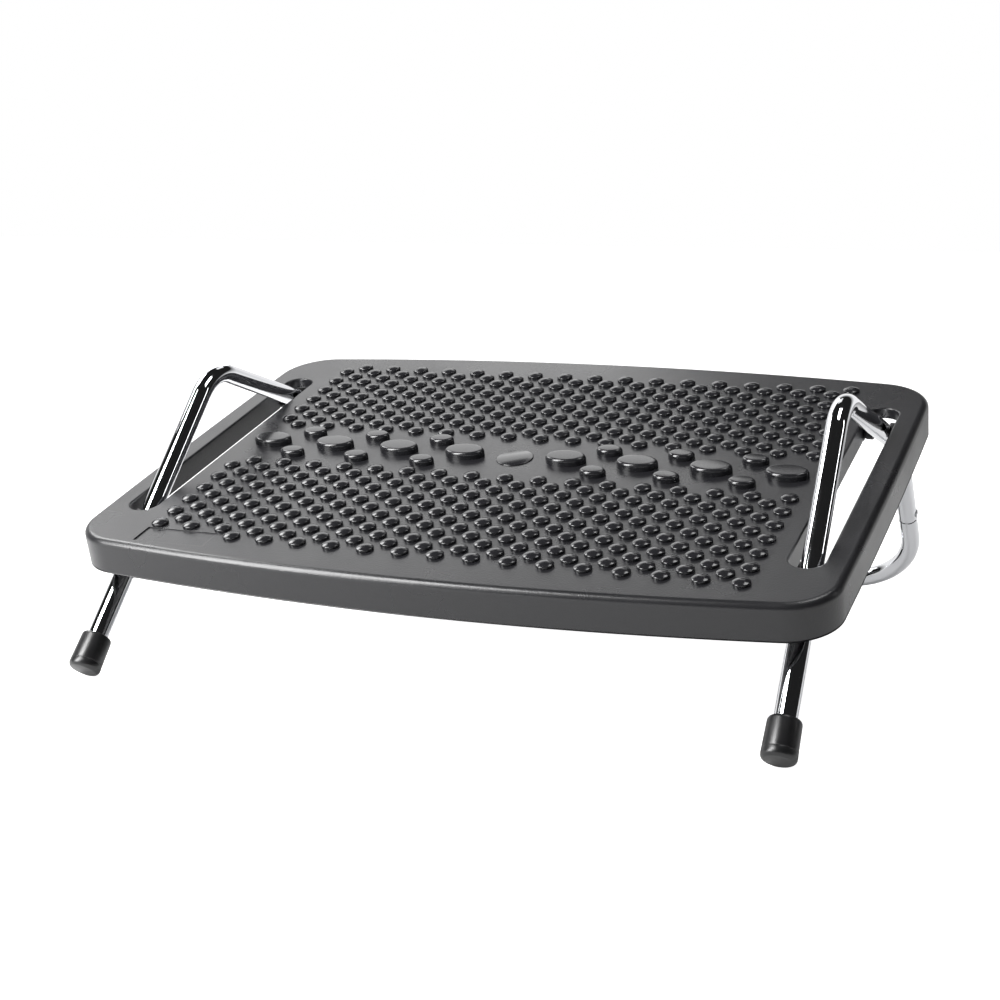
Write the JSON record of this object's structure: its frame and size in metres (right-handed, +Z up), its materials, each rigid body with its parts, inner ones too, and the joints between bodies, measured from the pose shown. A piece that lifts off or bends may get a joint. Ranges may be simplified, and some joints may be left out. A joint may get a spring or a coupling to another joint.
{
  "type": "tilting footrest",
  "caption": "Under-desk footrest: a studded footplate that tilts on friction hinges in a frame of bent tube with rubber feet.",
  "frame": {"origin": "on the floor, under the middle of the outline", "axes": "+Z up, -Y towards the front edge, +X to the user's right"},
  "size_m": [0.4498, 0.408, 0.1675],
  "materials": {
    "plate_plastic": "fine textured moulding, satin",
    "chrome_tube": "bright chrome plate",
    "foot_rubber": "matt",
    "hardware_steel": "zinc plated",
    "bush_nylon": "smooth moulding"
  },
  "bodies": {
    "frame": {"rear_tube": "chrome_tube", "left_side_tube": "chrome_tube", "right_side_tube": "chrome_tube", "left_front_ferrule": "foot_rubber", "right_front_ferrule": "foot_rubber", "left_rear_sleeve": "foot_rubber", "right_rear_sleeve": "foot_rubber", "left_joint_spigot": "hardware_steel", "right_joint_spigot": "hardware_steel", "left_joint_screw": "hardware_steel", "right_joint_screw": "hardware_steel", "left_inner_saddle_bush": "bush_nylon", "left_outer_saddle_bush": "bush_nylon", "right_inner_saddle_bush": "bush_nylon", "right_outer_saddle_bush": "bush_nylon"},
    "tilting_footplate": {"footplate": "plate_plastic", "left_pivot_bolt": "hardware_steel", "right_pivot_bolt": "hardware_steel", "left_pivot_nut": "hardware_steel", "right_pivot_nut": "hardware_steel", "left_spring_washer": "hardware_steel", "right_spring_washer": "hardware_steel", "left_inner_washer": "hardware_steel", "right_inner_washer": "hardware_steel", "left_outer_washer": "hardware_steel", "right_outer_washer": "hardware_steel"}
  },
  "joints": [
    {"name": "footplate_tilt", "type": "hinge", "parent": "frame", "child": "tilting_footplate", "pos_m": [0, 0.05153, 0.13384], "axis": [-1, 0, 0], "range_deg": [0, 13]}
  ]
}
